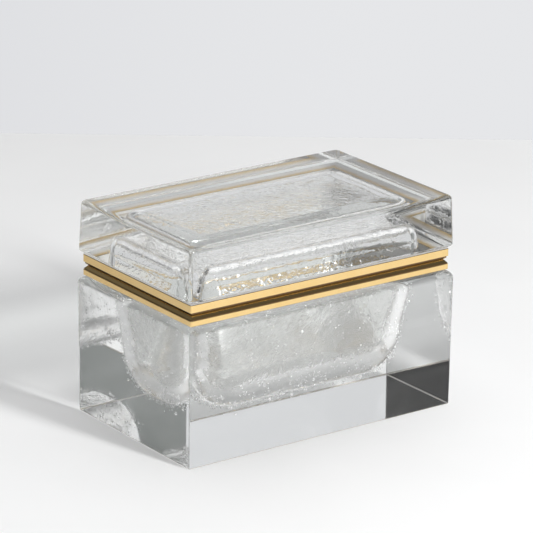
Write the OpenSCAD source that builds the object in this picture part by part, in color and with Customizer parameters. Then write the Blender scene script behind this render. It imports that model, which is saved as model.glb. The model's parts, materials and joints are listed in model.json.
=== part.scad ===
// Hinged casket: two cast and polished glass blocks, each hollowed into a
// rounded bowl, each wearing a mitred brass rim, joined by a knuckle hinge
// that lies in the groove between the two rims at the back.
// Millimetres. X runs along the hinge, -Y is the front, Z is up, and the
// origin is the middle of the foot, on the surface that the casket stands on.

/* [Glass blocks] */
// Length of the casket along the hinge
case_l = 160; // [130:1:220]
// Width of the casket from front to back
case_w = 98; // [84:1:140]
// Height of the base block, from its foot to the brass
base_h = 71.8; // [56:0.1:100]
// Height of the lid block, from the brass to its top
lid_h = 27.95; // [22:0.05:45]
// How far each wall of the base leans in at the foot
base_lean = 0.35; // [0:0.05:2]
// How far each wall of the lid leans in at the top
lid_lean = 0.9; // [0:0.05:2]
// Ground bevel round the foot of the base
foot_bevel = 0.5; // [0.2:0.1:1.5]
// Polished bevel round the top of the lid
top_bevel = 2.1; // [1:0.1:4]
// How far the rounded shoulders next to the brass run in from the walls
shoulder_in = 3.6; // [2.5:0.1:4.5]
// Height of the base block's rounded shoulder
base_shoulder = 4.3; // [2:0.1:7]
// Height of the lid block's rounded shoulder
lid_shoulder = 2.8; // [1.5:0.1:5]
// Chamfer on the four upright edges of both blocks
upright_bevel = 0.5; // [0.2:0.1:1.5]

/* [Bowls] */
// Glass left at each end of the bowls, measured at the brass
end_wall = 12.2; // [11:0.1:18]
// Glass left at the front and the back of the bowls, measured at the brass
side_wall = 15; // [12:0.1:20]
// Corner radius of both bowls at the brass
mouth_r = 17; // [8:0.5:22]
// Glass left under the base bowl
bowl_floor = 17.5; // [10:0.5:25]
// Radius that rounds the walls of the base bowl into its floor
bowl_r = 25; // [10:0.5:28]
// How far the walls of the base bowl lean in before they round over
bowl_lean = 4; // [0:0.5:6]
// Glass left above the lid bowl
lid_roof = 15.1; // [12:0.1:17]
// Radius that rounds the walls of the lid bowl into its roof
lid_bowl_r = 9; // [4:0.5:12]
// How far the walls of the lid bowl lean in before they round over
lid_bowl_lean = 1.5; // [0:0.5:4]

/* [Brass rims] */
// How far the rims stand back from the walls of the glass
rim_inset = 1.9; // [1:0.1:3]
// Width of a rim rail, from its outer face towards the bowl
rim_w = 8; // [7:0.1:9]
// Height of the base rim's polished outer band
base_band = 2.9; // [2:0.1:5]
// Height of the lid rim's polished outer band
lid_band = 4; // [2.5:0.1:6]
// Depth of the groove between the two rims
groove_d = 1.75; // [1.2:0.05:2.2]
// Slope of each side of the groove, which stops the lid at twice this angle
groove_angle = 48; // [45:0.5:52]
// Hairline left between the closed rims
rim_gap = 0.1; // [0.05:0.05:0.3]
// Radius of the rims' outer corners
rim_corner_r = 0.8; // [0.4:0.1:2]

/* [Hinge] */
// Length of the hinge
hinge_l = 90; // [60:1:110]
// Diameter of the knuckles
knuckle_d = 4.8; // [4.2:0.1:5.2]
// Diameter of the hinge pin
pin_d = 2; // [1.4:0.1:2.6]
// Clearance round the pin in every knuckle
pin_fit = 0.05; // [0.02:0.01:0.1]
// Gap between one knuckle and the next
knuckle_gap = 0.2; // [0.1:0.05:0.5]
// Solder gap between a knuckle and the rail that carries it
seat_fit = 0.05; // [0.03:0.01:0.1]
// Running clearance between a knuckle and the other body's rail
run_fit = 0.3; // [0.2:0.05:0.4]

/* [Hidden] */

// More than enough to cut right through a piece.
over = 1;
// Chords of a shoulder's quarter round, and sides of a whole turn on round
// pieces and on the bowls.
shoulder_steps = 6;
round_sides = 64;
bowl_sides = 32;
// Thickness of the slice that shapes a bowl's mouth.
slice = 0.01;

// Levels, from the surface that the casket stands on.
groove_h = groove_d * tan(groove_angle);
base_rim_top = base_h + base_band + groove_h;
hinge_z = base_rim_top + rim_gap / 2;
lid_rim_bottom = base_rim_top + rim_gap;
lid_z = lid_rim_bottom + groove_h + lid_band;
case_h = lid_z + lid_h;

// Outer faces of the rims, and the hinge line at the root of the groove.
rim_l = case_l - 2 * rim_inset;
rim_full_w = case_w - 2 * rim_inset;
hinge_y = rim_full_w / 2 - groove_d;

// Half sizes of both bowls at the brass.
mouth_x = case_l / 2 - end_wall;
mouth_y = case_w / 2 - side_wall;

// Five knuckles share the hinge, starting and ending on the base.
knuckle_count = 5;
knuckle_pitch = hinge_l / knuckle_count;
knuckle_l = knuckle_pitch - knuckle_gap;
base_knuckles = [0, 2, 4];
lid_knuckles = [1, 3];

glass_tint = [0.86, 0.91, 0.90, 0.45];
brass_tint = [0.86, 0.68, 0.32];

// Quarter round from an upright wall to a level face. It ends shoulder_in
// inside the wall and rises by h.
function shoulder(wall, level, h, up) = [
    for (i = [0:shoulder_steps])
        let (t = 90 * i / shoulder_steps)
        [wall - shoulder_in * (1 - cos(t)), level - up * h * (1 - sin(t))]
];

// Right-hand half of the base block's outline, from its foot to the brass.
function base_half(wall) = concat(
    [[wall - base_lean - foot_bevel, 0], [wall - base_lean, foot_bevel]],
    shoulder(wall, base_h, base_shoulder, 1)
);

// Right-hand half of the lid block's outline, from its top to the brass.
function lid_half(wall) = concat(
    [[wall - lid_lean - top_bevel, case_h], [wall - lid_lean, case_h - top_bevel]],
    shoulder(wall, lid_z, lid_shoulder, -1)
);

// A half outline and its mirror image, joined into one closed outline.
function whole(half) = concat(half, [
    for (i = [len(half) - 1:-1:0]) [-half[i][0], half[i][1]]
]);

// Plan of a block: a rectangle with its four corners cut off.
module block_plan() {
    x = case_l / 2;
    y = case_w / 2;
    c = upright_bevel;
    polygon([
        [x, y - c], [x - c, y], [c - x, y], [-x, y - c],
        [-x, c - y], [c - x, -y], [x - c, -y], [x, c - y]
    ]);
}

// What three extrusions share: the front outline, the end outline and the plan.
module ground_block(front, side) {
    intersection() {
        rotate([90, 0, 0])
            linear_extrude(case_w + 2 * over, center = true) polygon(front);
        rotate([90, 0, 90])
            linear_extrude(case_l + 2 * over, center = true) polygon(side);
        translate([0, 0, -over])
            linear_extrude(case_h + 2 * over) block_plan();
    }
}

// A rounded bowl: a mouth with round corners at level z, run to four balls
// that round its far side over. way is -1 for a bowl sunk down from its mouth
// and 1 for one sunk upwards.
module bowl(z, depth, ball_r, lean, way) {
    r = min(ball_r, depth - over, mouth_y - lean - over);
    ball_x = mouth_x - lean - r;
    ball_y = mouth_y - lean - r;
    corner_r = min(mouth_r, mouth_y - over);
    hull() {
        for (sx = [-1, 1], sy = [-1, 1]) {
            translate([sx * (mouth_x - corner_r), sy * (mouth_y - corner_r), z])
                cylinder(h = slice, r = corner_r, $fn = bowl_sides);
            translate([sx * ball_x, sy * ball_y, z + way * (depth - r)])
                sphere(r, $fn = bowl_sides);
        }
    }
    // The mouth carries on past the face of the glass, so the cut is clean.
    translate([0, 0, way > 0 ? z - over : z]) linear_extrude(over) mouth_plan(corner_r);
}

module mouth_plan(r) {
    square([2 * mouth_x, 2 * (mouth_y - r)], center = true);
    square([2 * (mouth_x - r), 2 * mouth_y], center = true);
    for (sx = [-1, 1], sy = [-1, 1])
        translate([sx * (mouth_x - r), sy * (mouth_y - r)]) circle(r, $fn = bowl_sides);
}

module base_block() {
    color(glass_tint)
        difference() {
            ground_block(whole(base_half(case_l / 2)), whole(base_half(case_w / 2)));
            bowl(base_h, base_h - bowl_floor, bowl_r, bowl_lean, -1);
        }
}

module lid_block() {
    color(glass_tint)
        difference() {
            ground_block(whole(lid_half(case_l / 2)), whole(lid_half(case_w / 2)));
            bowl(lid_z, lid_h - lid_roof, lid_bowl_r, lid_bowl_lean, 1);
        }
}

// Section of a rail, from its outer face inwards. The base rail stands on the
// glass with its half of the groove on top, and the lid rail is its mirror.
module rail_section(band) {
    polygon([
        [0, 0], [0, band], [groove_d, band + groove_h],
        [rim_w, band + groove_h], [rim_w, 0]
    ]);
}

// Plan of the rail along one side, mitred at both ends. l is that side of the
// rims, and w is the distance between the two rails that run along it.
module mitre_plan(l, w) {
    intersection() {
        polygon([
            [-l / 2, -w / 2], [l / 2, -w / 2],
            [l / 2 - rim_w, rim_w - w / 2], [rim_w - l / 2, rim_w - w / 2]
        ]);
        union() {
            square([l, w - 2 * rim_corner_r], center = true);
            square([l - 2 * rim_corner_r, w], center = true);
            for (s = [-1, 1])
                translate([s * (l / 2 - rim_corner_r), rim_corner_r - w / 2])
                    circle(rim_corner_r, $fn = round_sides);
        }
    }
}

// A base rail lying along the front of a rim of length l and width w.
module base_rail(l, w) {
    intersection() {
        translate([0, -w / 2, base_h])
            rotate([90, 0, 90]) linear_extrude(l, center = true) rail_section(base_band);
        translate([0, 0, base_h - over])
            linear_extrude(base_band + groove_h + 2 * over) mitre_plan(l, w);
    }
}

// A lid rail lying along the front, with its groove underneath.
module lid_rail(l, w) {
    intersection() {
        translate([0, -w / 2, lid_z])
            rotate([90, 0, 90]) linear_extrude(l, center = true)
                mirror([0, 1]) rail_section(lid_band);
        translate([0, 0, lid_rim_bottom - over])
            linear_extrude(lid_band + groove_h + 2 * over) mitre_plan(l, w);
    }
}

// A round bar on the hinge line, over the stretch of the given knuckles.
module hinge_bars(knuckles, r, l) {
    for (i = knuckles)
        translate([(i - (knuckle_count - 1) / 2) * knuckle_pitch, hinge_y, hinge_z])
            rotate([0, 90, 0]) cylinder(h = l, r = r, center = true, $fn = round_sides);
}

// The channel in a back rail: close round its own knuckles, free round the
// other body's.
module hinge_channel(own, other) {
    hinge_bars(own, knuckle_d / 2 + seat_fit, knuckle_l);
    hinge_bars(other, knuckle_d / 2 + run_fit, knuckle_l + 2 * knuckle_gap);
}

module knuckle(i) {
    color(brass_tint)
        difference() {
            hinge_bars([i], knuckle_d / 2, knuckle_l);
            hinge_bars([i], pin_d / 2 + pin_fit, knuckle_pitch + over);
        }
}

module base_rail_front() {
    color(brass_tint) base_rail(rim_l, rim_full_w);
}

module base_rail_back() {
    color(brass_tint)
        difference() {
            rotate([0, 0, 180]) base_rail(rim_l, rim_full_w);
            hinge_channel(base_knuckles, lid_knuckles);
        }
}

module base_rail_left() {
    color(brass_tint) rotate([0, 0, -90]) base_rail(rim_full_w, rim_l);
}

module base_rail_right() {
    color(brass_tint) rotate([0, 0, 90]) base_rail(rim_full_w, rim_l);
}

module lid_rail_front() {
    color(brass_tint) lid_rail(rim_l, rim_full_w);
}

module lid_rail_back() {
    color(brass_tint)
        difference() {
            rotate([0, 0, 180]) lid_rail(rim_l, rim_full_w);
            hinge_channel(lid_knuckles, base_knuckles);
        }
}

module lid_rail_left() {
    color(brass_tint) rotate([0, 0, -90]) lid_rail(rim_full_w, rim_l);
}

module lid_rail_right() {
    color(brass_tint) rotate([0, 0, 90]) lid_rail(rim_full_w, rim_l);
}

module hinge_pin() {
    color(brass_tint)
        translate([0, hinge_y, hinge_z])
            rotate([0, 90, 0])
                cylinder(h = hinge_l - knuckle_gap, d = pin_d, center = true, $fn = round_sides);
}

base_block();
base_rail_front();
base_rail_back();
base_rail_left();
base_rail_right();
knuckle(0);  // hinge_knuckle_base_left
knuckle(1);  // hinge_knuckle_lid_left
knuckle(2);  // hinge_knuckle_base_middle
knuckle(3);  // hinge_knuckle_lid_right
knuckle(4);  // hinge_knuckle_base_right
hinge_pin();
lid_block();
lid_rail_front();
lid_rail_back();
lid_rail_left();
lid_rail_right();
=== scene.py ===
import json
import math

import bmesh
import bpy
import numpy as np
from mathutils import Matrix, Vector


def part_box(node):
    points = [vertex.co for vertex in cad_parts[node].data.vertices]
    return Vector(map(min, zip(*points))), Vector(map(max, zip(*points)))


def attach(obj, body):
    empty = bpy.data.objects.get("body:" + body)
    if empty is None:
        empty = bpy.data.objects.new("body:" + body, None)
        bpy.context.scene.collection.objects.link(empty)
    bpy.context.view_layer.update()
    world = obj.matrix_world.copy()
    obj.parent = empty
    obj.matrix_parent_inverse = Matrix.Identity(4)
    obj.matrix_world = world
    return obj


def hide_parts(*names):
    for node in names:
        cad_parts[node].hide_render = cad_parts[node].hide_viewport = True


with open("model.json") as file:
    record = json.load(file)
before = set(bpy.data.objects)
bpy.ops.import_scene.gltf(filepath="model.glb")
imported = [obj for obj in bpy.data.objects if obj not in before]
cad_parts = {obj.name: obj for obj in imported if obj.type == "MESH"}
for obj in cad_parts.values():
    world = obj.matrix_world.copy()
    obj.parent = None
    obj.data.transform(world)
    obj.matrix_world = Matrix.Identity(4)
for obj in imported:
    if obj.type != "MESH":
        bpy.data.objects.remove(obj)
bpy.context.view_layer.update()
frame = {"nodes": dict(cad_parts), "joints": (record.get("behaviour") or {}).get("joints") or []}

bl_info = {
    "name": "Glass casket",
    "version": (1, 0, 0),
    "blender": (4, 5, 0),
    "location": "View3D > Sidebar > Casket",
    "description": "Builds a hinged casket of cast glass with gilt brass rims",
    "category": "Add Mesh",
}

MM = 0.001
BASE_LO, BASE_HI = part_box("base_block")
LID_LO, LID_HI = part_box("lid_block")
BASE_RIM_LO, BASE_RIM_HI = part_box("base_rail_front")
LID_RIM_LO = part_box("lid_rail_front")[0]
SIDE_RIM_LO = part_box("base_rail_left")[0]
HINGE_Y, HINGE_Z = frame["joints"][0]["pos_m"][1:]
KNUCKLES = [node for node in frame["nodes"] if node.startswith("hinge_knuckle")]
RIM_WIDTH = BASE_RIM_HI[1] - BASE_RIM_LO[1]
BASE_RIM_H, LID_RIM_H = BASE_RIM_HI[2] - BASE_HI[2], LID_LO[2] - LID_RIM_LO[2]
# The rims' outer faces. The front rail's box shows one, and the left rail's the other.
RIM_HALF_Y = -BASE_RIM_LO[1]
RIM_HALF_X = -SIDE_RIM_LO[0]

# Steps of a glass block's plan: round each corner, and along each side.
CORNER_STEPS = 16
SIDE_STEPS = (60, 20, 60, 20)
# Steps of its section: the outer face's bevel, shoulder and lip, and the bowl's four parts.
BEVEL_STEPS, SHOULDER_STEPS, EDGE_STEPS = 4, 12, 3
LIP_STEPS, WALL_STEPS, TURN_STEPS, FLOOR_STEPS = 4, 18, 26, 12
# Shares of the bowl's turn and floor that are rings. A fan closes the floor.
TURN_SHARE, FLOOR_SHARE = 0.985, 0.93
# Steps of the brass: round a tube, along a rounded edge, and round a rim's outer corner.
ROUND_STEPS = 48
BLEND_STEPS = 5
CORNER_TURNS = 4
# Corners closer than this, in metres, are one corner.
WELD = 1e-7
NO_TRIS = np.zeros((0, 3), int)

# Rounding and corner radius of the glass lip inside a rim.
INNER_EDGE, INNER_CORNER = 0.3 * MM, 2.0 * MM
# Lengths of the ripples in a bowl, the fine one's share, and the depth where they are full.
SWELL, FINE_SWELL, FINE_SHARE, SWELL_DEPTH = 16 * MM, 5 * MM, 0.45, 6 * MM
# Sine waves that make up one kind of ripple.
WAVES = 14
# Bubbles gather in patches of this size, with this share between them, and where the bowl's
# walls turn: at this share of its depth, over this spread.
PATCH, BETWEEN, TURN_AT, TURN_SPREAD = 7 * MM, 0.12, 0.86, 0.12
# Glass left between a bubble and the bowl (as a share of its radius, and added to that) and
# between a bubble and the block's outer faces.
CLEAR_SHARE, CLEAR, SKIN_CLEAR = 1.15, 0.1 * MM, 1.5 * MM
# Sections that would meet at a rim's corner are set this far apart.
SECTION_STEP = 0.03 * MM
# A slot runs in at least this far past the groove's slope.
SLOT_LEAST = 0.1 * MM
# Rounding of the knuckles' and the pin's ends, and the hole that the pin's ends close on.
TUBE_EDGE, PIN_EDGE, PIN_MIDDLE = 0.25 * MM, 0.2 * MM, 0.01 * MM
# Spans over which a face of glass turns from upright to level, and lamp light grazes it.
LEVEL_SPAN, GRAZE_SPAN = (0.12, 0.88), (0.68, 0.80)
# Squares along each side of the table, and metres to the right over which its painted shade
# on the left gives way to its full colour.
TABLE_SQUARES, TABLE_SPAN = 8, (-0.32, -0.15)
# The camera's film and nearest and furthest reach.
FILM, NEAR, FAR = 36.0, 0.05, 50.0
# Surroundings: the direction of the canopy's middle, and the spans over which it begins, the
# rooms darken upwards, the dark side gives way to the right, and the wall begins.
CANOPY_WAY, CANOPY_SPAN = (0.20, 0.25, 0.947), (0.72, 0.85)
ROOM_UP, DARK_UP, RIGHT_SPAN = (0.35, 0.75), (0.30, 0.60), (-0.6, 0.7)
WALL_SPAN, WALL_UP, WALL_RIGHT = (0.28, 0.72), (0.75, 0.5), (-0.16, 0.04)

# Material slots of the glass pieces and of the rails, in order.
SKIN, BOWL, BUBBLE, SEED, GROUND, SEAT, FOOT = range(7)
RAIL, BEDDED, RECESS_SHADE, GROOVE = range(4)
# Grades of bubbles, small to large: slot, steps round and down a ball, spread of the radii, and
# how many times more of them gather where the bowl's walls turn.
GRADES = (SEED, (4, 2), 0.35, 0.6), (BUBBLE, (6, 3), 0.30, 1.2), (BUBBLE, (12, 6), 0.25, 30.0)
# Slots of a rail's steps, in rail_outline's order. The slot beside the band and the edges on
# the glass get painted shade: a near-black colour for the shade in slots and seams. The inner
# edges show through the bowl as a thin gilt line, with painted shade where the rims meet.
RAIL_STEPS = (
    [RECESS_SHADE] * 3 + [RAIL] * 8 + [RECESS_SHADE] * 3 + [GROOVE] * 5 + [RAIL] * 2 + [RECESS_SHADE] * 2
    + [GROOVE] * 3 + [BEDDED] + [GROOVE] * 2 + [RECESS_SHADE] * 3 + [BEDDED])
INNER_FACE = RAIL_STEPS.index(BEDDED)
BLACK = (0.0, 0.0, 0.0, 1.0)
# A Mix node's sockets for a share and two colours, and the one for the mixed colour.
MIX_INPUTS, MIX_OUTPUT = (0, 6, 7), 2


# ---------------------------------------------------------------- settings


def length(name, description, default_mm):
    """A length property, kept in metres and written here in millimetres."""
    return bpy.props.FloatProperty(name=name, description=description, default=default_mm * MM,
                                   min=0.0, unit="LENGTH", precision=5)


def colour(name, description, *default):
    """A plain colour property."""
    return bpy.props.FloatVectorProperty(name=name, description=description, default=default,
                                         size=3, min=0.0, max=1.0, subtype="COLOR")


def amount(name, description, default, **limits):
    """A number property, from 0 up unless limits say more."""
    return bpy.props.FloatProperty(name=name, description=description, default=default, min=0.0,
                                   **limits)


def share(name, description, default):
    """A number property from 0 to 1."""
    return amount(name, description, default, max=1.0)


def count(name, description, default):
    """A whole number property, from 0 up."""
    return bpy.props.IntProperty(name=name, description=description, default=default, min=0)


def angle(name, description, degrees):
    """An angle property, written here in degrees."""
    return bpy.props.FloatProperty(name=name, description=description,
                                   default=math.radians(degrees), subtype="ANGLE")


class GlassSettings(bpy.types.PropertyGroup):
    """Sizes of the two glass blocks, their bowls and their bubbles."""

    end_wall: length("End wall", "Glass left at each end of the bowls at the brass", 12.2)
    side_wall: length("Side wall", "Glass left at the front and back at the brass", 15.0)
    mouth_r: length("Mouth radius", "Corner radius of the bowls at the brass", 17.0)
    lip: length("Lip", "Rounded lip round the bowls' mouths", 0.9)
    shoulder_in: length("Shoulder in", "How far the shoulders run in from the walls", 3.6)
    shoulder_r: length("Shoulder corner", "Extra corner radius gained over a shoulder", 2.4)
    rim_slope: length("Rim slope", "How far the ground seat falls away to its outer edge", 0.55)
    seat_gap: length("Seat gap", "Gap between the glass's inner lip and the brass", 0.12)
    lip_gap: length("Lip gap", "How far the inner lips stop short of the brass's edge", 0.10)
    ripple: length("Ripple", "Height of the soft waves in the bowls' walls", 0.18)
    seeds: count("Seeds", "Pin-prick bubbles round the base bowl", 2000)
    bubbles: count("Bubbles", "Small bubbles round the base bowl", 2000)
    seed_r: length("Seed radius", "Usual radius of a pin-prick bubble", 0.25)
    bubble_r: length("Bubble radius", "Usual radius of a small bubble", 0.24)
    bead_r: length("Bead radius", "Usual radius of a large bubble", 0.75)
    bubble_depth: length("Bubble depth", "Usual distance of a bubble from the bowl", 0.8)
    bubble_reach: length("Bubble reach", "Furthest that a bubble lies from the bowl", 4.0)
    tint: colour("Tint", "Colour left in light that crosses the glass", 0.940, 0.947, 0.944)
    density: amount("Density", "How strongly the glass tints, per metre", 1.2)


# What both blocks have: kind, name and description of the setting, and the base's and the
# lid's value. The far face is the base's foot and the lid's top.
BLOCK_SETTINGS = {
    "left": (length, "thickness", "Glass left between the bowl and the far face", 17.5, 15.1),
    "bowl_r": (length, "bowl radius", "Radius between the bowl's walls and floor", 25.0, 9.0),
    "bowl_lean": (length, "bowl lean", "How far the bowl's walls lean in", 4.0, 1.5),
    "lean": (length, "lean", "How far the outer walls lean in at the far face", 0.35, 0.9),
    "bevel": (length, "bevel", "Bevel round the far face", 0.5, 2.1),
    "shoulder": (length, "shoulder", "Height of the shoulder", 4.3, 2.8),
    "upright": (length, "upright", "Radius of the upright edges", 0.5, 2.0),
    "share": (share, "share", "Share of the seeds and small bubbles", 1.0, 0.80),
    "beads": (count, "beads", "Large bubbles along the bowl's far edge", 110, 0),
    "draw": (count, "draw", "Start of the random draws", 11, 47),
}
for key, (kind, label, description, *defaults) in BLOCK_SETTINGS.items():
    for block, default in zip(("base", "lid"), defaults):
        GlassSettings.__annotations__[f"{block}_{key}"] = kind(
            f"{block.title()} {label}", f"{description}, on the {block}", default)


class BrassSettings(bpy.types.PropertyGroup):
    """Sizes and finish of the rims and the hinge."""

    base_band: length("Base band", "Height of the base rim's outer band", 2.9)
    lid_band: length("Lid band", "Height of the lid rim's outer band", 4.0)
    groove_d: length("Groove depth", "Depth of the groove between the rims", 1.75)
    corner_r: length("Corner radius", "Radius of the rims' outer corners", 0.8)
    edge_r: length("Edge", "Rounding of the rails' long edges", 0.30)
    slot_d: length("Slot depth", "Depth of the fine slot beside each band", 0.6)
    base_slot: length("Base slot", "Height of the fine slot above the base's band", 0.36)
    lid_slot: length("Lid slot", "Height of the fine slot under the lid's band", 0.85)
    root_r: length("Root", "Rounding at the root of the groove", 0.34)
    glue: length("Glue line", "Gap between a rim and its glass", 0.06)
    base_bedding: share("Base bedding", "Cement on the inner faces of the base rim", 0.0)
    lid_bedding: share("Lid bedding", "Cement on the inner faces of the lid rim", 1.0)
    edge_bedding: share("Edge bedding", "Share of the bedding on the edge beside it", 0.6)
    knuckle_d: length("Knuckle", "Diameter of the hinge knuckles", 4.8)
    bore_d: length("Bore", "Bore of the hinge knuckles", 2.1)
    pin_d: length("Pin", "Diameter of the hinge pin", 2.0)
    seat_fit: length("Seat fit", "Gap between a knuckle and its own rail", 0.05)
    run_fit: length("Run fit", "Gap between a knuckle and the other rail", 0.3)
    gilt: colour("Gilt", "Colour of the gilding", 0.85, 0.62, 0.290)
    worn: colour("Worn gilt", "Colour of the thinner gilding", 0.76, 0.51, 0.19)
    tarnish: colour("Tarnish", "Colour of the bare brass under the glass", 0.49, 0.34, 0.12)
    cement: colour("Cement", "Colour of the cement through the glass", 0.62, 0.605, 0.585)
    # Painted shade: the near-black colour of the slots and seams, and the colour of its lighter
    # random patches.
    crevice: colour("Crevice", "Colour deep in the fine slots", 0.050, 0.016, 0.002)
    recess_shade_patches: colour("Worn crevice", "Colour where they are worn", 0.12, 0.055, 0.010)


class StageSettings(bpy.types.PropertyGroup):
    """Camera, table, lamps and surroundings."""

    azimuth: angle("Azimuth", "Camera's turn round the casket", -36.0)
    elevation: angle("Elevation", "Camera's height angle", 19.35)
    roll: angle("Roll", "Camera's roll", 0.74)
    distance: length("Distance", "Camera's distance from the middle of the casket", 1737.0)
    middle: length("Middle", "Height of the point that the camera turns about", 55.0)
    aim: bpy.props.FloatVectorProperty(
        name="Aim", description="Point at the middle of the picture",
        default=(3.6 * MM, 4.93 * MM, 72.4 * MM), size=3, unit="LENGTH")
    lens: amount("Lens", "Focal length in millimetres", 235.2)
    table_edge: length("Table edge", "Table behind the casket, along the view", 476.0)
    table_reach: length("Table reach", "Table to the sides and the front", 4000.0)
    air_gap: length("Air gap", "Film of air under the foot", 0.1)
    key_power: amount("Key", "Power of the key lamp", 57.0)
    key_way: bpy.props.FloatVectorProperty(
        name="Key direction", description="Direction from the casket to the key lamp",
        default=(0.21, -0.97, 0.44), size=3, subtype="DIRECTION")
    key_distance: length("Key distance", "Distance of the key lamp", 2200.0)
    key_size: length("Key size", "Side of the key lamp", 300.0)
    fill_power: amount("Fill", "Power of the fill lamp overhead", 3.0)
    fill_distance: length("Fill distance", "Distance of the fill lamp", 2000.0)
    fill_size: length("Fill size", "Side of the fill lamp", 1500.0)
    canopy: amount("Canopy", "Brightness of the soft light overhead", 1.06)
    wall: colour("Wall", "Pale wall behind the table", 0.790, 0.797, 0.815)
    wall_left: colour("Wall, left", "The same wall further left", 0.715, 0.722, 0.745)
    wall_dim: amount("Wall dimming", "Share of the wall's light on the casket", 0.91)
    room: colour("Room", "Room to the right, at eye level", 0.200, 0.213, 0.207)
    room_top: colour("Room, top", "Room to the right, overhead", 0.13, 0.13, 0.13)
    dark: colour("Dark side", "Room to the left, at eye level", 0.004, 0.004, 0.004)
    dark_top: colour("Dark side, top", "Room to the left, overhead", 0.045, 0.045, 0.045)
    table: colour("Table", "Pale table top", 0.90, 0.90, 0.90)
    # Painted shade: the share of the table's colour kept on the left, where less light falls.
    table_left_shade: share("Table, left", "Share of its colour left on the left", 0.85)
    mottle: share("Mottle", "Darkest mottle of the table top", 0.02)


def settings_of(name):
    """The scene's settings of one kind."""
    return getattr(bpy.context.scene, name)


def put(name, data):
    """A new object in the scene."""
    made = bpy.data.objects.new(name, data)
    bpy.context.scene.collection.objects.link(made)
    return made


# ---------------------------------------------------------------- surfaces


def ring(half_x, half_y, corner):
    """Plans of rounded rectangles, one row for each entry of the three arrays.

    Each corner is its centre, (half_x - corner, half_y - corner) with signs, plus corner times
    (cos t, sin t) over a quarter turn, and straight sides run from one corner to the next.
    """
    t = ease(CORNER_STEPS) * math.pi / 2
    turn = (np.arange(4)[:, None] * math.pi / 2 + t)[:, None, :]
    signs = np.array([[1, -1, -1, 1], [1, 1, -1, -1]])[..., None, None]
    corners = np.stack([
        sign * (half - corner)[:, None] + corner[:, None] * wave(turn)
        for sign, half, wave in zip(signs, (half_x, half_y), (np.cos, np.sin))], axis=-1)
    parts = []
    for k, steps in enumerate(SIDE_STEPS):
        along = ease(steps)[1:-1][None, :, None]
        start, end = corners[k][:, -1:], corners[(k + 1) % 4][:, :1]
        parts += [corners[k], start + (end - start) * along]
    return np.concatenate(parts, axis=1)


def mesh_from(name, points, quads, tris, flat, slots=None, uv=None, cement=None):
    """A mesh from arrays: corners, four- and three-cornered faces, which of them are flat."""
    mesh = bpy.data.meshes.new(name)
    loops = np.concatenate([quads.ravel(), tris.ravel()])
    totals = np.repeat([4, 3], (len(quads), len(tris)))
    mesh.vertices.add(len(points))
    mesh.vertices.foreach_set("co", points.astype(np.float32).ravel())
    mesh.loops.add(len(loops))
    mesh.loops.foreach_set("vertex_index", loops.astype(np.int32))
    mesh.polygons.add(len(totals))
    for key, values in (("loop_start", np.cumsum(totals) - totals), ("loop_total", totals),
                        ("material_index", slots)):
        if values is not None:
            mesh.polygons.foreach_set(key, values.astype(np.int32))
    mesh.polygons.foreach_set("use_smooth", ~flat)
    if uv is not None:
        mesh.uv_layers.new(name="along").uv.foreach_set("vector", uv.astype(np.float32).ravel())
    mesh.update(calc_edges=True)
    if mesh.validate():
        raise RuntimeError(f"{name} has faces that Blender had to mend")
    if cement is not None:
        mesh.attributes.new("cement", "FLOAT", "POINT").data.foreach_set("value", cement)
    return mesh


def grid_quads(rows, columns):
    """Faces of a grid that closes on itself along its columns."""
    i = np.arange(rows - 1)[:, None] * columns
    j = np.arange(columns)[None, :]
    k = (j + 1) % columns
    return np.stack([i + j, i + k, i + columns + k, i + columns + j], -1).reshape(-1, 4)


def fan(centre, row_start, columns, outward):
    """Triangles from one point to a closed row."""
    j = row_start + np.arange(columns)
    tris = np.stack([np.full(columns, centre), np.roll(j, -1), j], -1)
    return tris if outward else tris[:, [0, 2, 1]]


def caps(grid_size, rows, columns):
    """The two fans that close a grid, to the two points that follow its own."""
    return np.concatenate([fan(grid_size, 0, columns, outward=True),
                           fan(grid_size + 1, (rows - 1) * columns, columns, outward=False)])


def ease(steps, last=1.0):
    """Evenly spaced shares from 0 to last."""
    return np.linspace(0.0, last, steps + 1)


def waves(points, scale, seed):
    """A smooth bumpy value from -2 to 2 at each point, mostly within -1 and 1: twice the mean
    of sine waves that run in directions drawn at random, with wavelengths from scale to twice
    scale."""
    rng = np.random.default_rng(seed)
    way = rng.normal(size=(WAVES, 3))
    way /= np.linalg.norm(way, axis=1)[:, None]
    per_metre = 2 * math.pi / (scale * rng.uniform(1.0, 2.0, WAVES))
    phase = rng.uniform(0, 2 * math.pi, WAVES)
    return np.sin(points @ (way * per_metre[:, None]).T + phase).mean(axis=-1) * 2.0


def grid_normals(points):
    """Unit normals of a closed grid: the cross product of its two directions."""
    along = np.roll(points, -1, axis=1) - np.roll(points, 1, axis=1)
    n = np.cross(along, np.gradient(points, axis=0))
    return n / np.maximum(np.linalg.norm(n, axis=-1, keepdims=True), 1e-12)


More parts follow.
